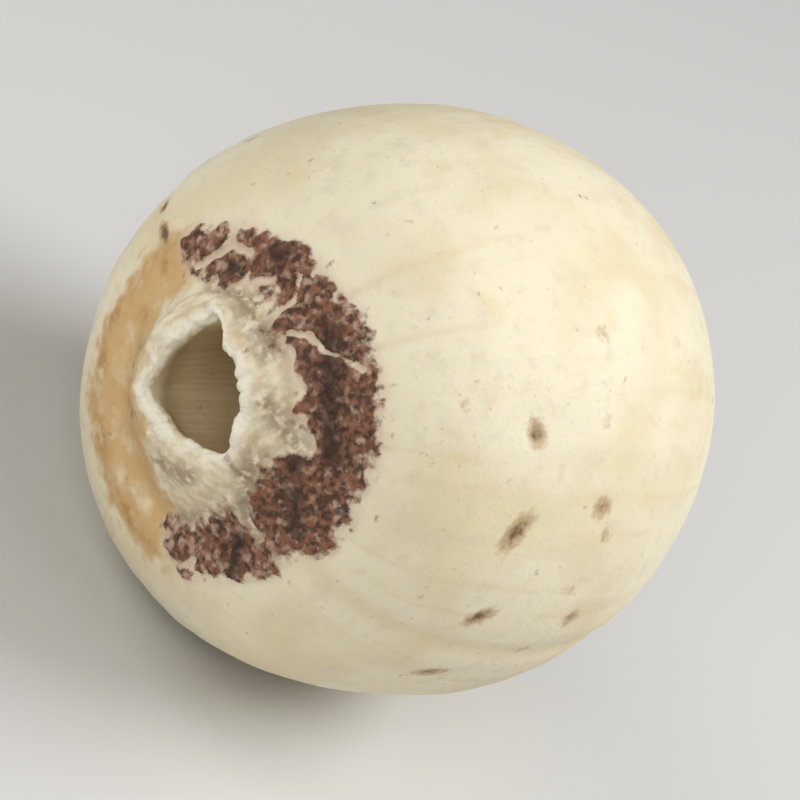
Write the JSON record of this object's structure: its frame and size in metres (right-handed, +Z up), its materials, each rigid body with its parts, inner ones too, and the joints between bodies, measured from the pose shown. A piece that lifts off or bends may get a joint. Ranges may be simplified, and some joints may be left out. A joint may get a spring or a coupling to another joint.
{
  "type": "lotus seed",
  "caption": "Dried, peeled and cored lotus seed: a plump oval body with a torn nipple in a ring hollow at the tip, a drilled base and a bore right through.",
  "frame": {"origin": "on the ground under the middle of the seed's box, at the level of the flat spot that it rests on", "axes": "+X along the seed, from the torn tip towards the drilled base; +Z up, away from the surface that the seed lies on"},
  "size_m": [0.0148, 0.0137, 0.0137],
  "materials": {
    "seed_flesh": "matte"
  },
  "bodies": {
    "root": {"lotus_seed": "seed_flesh"}
  },
  "joints": []
}
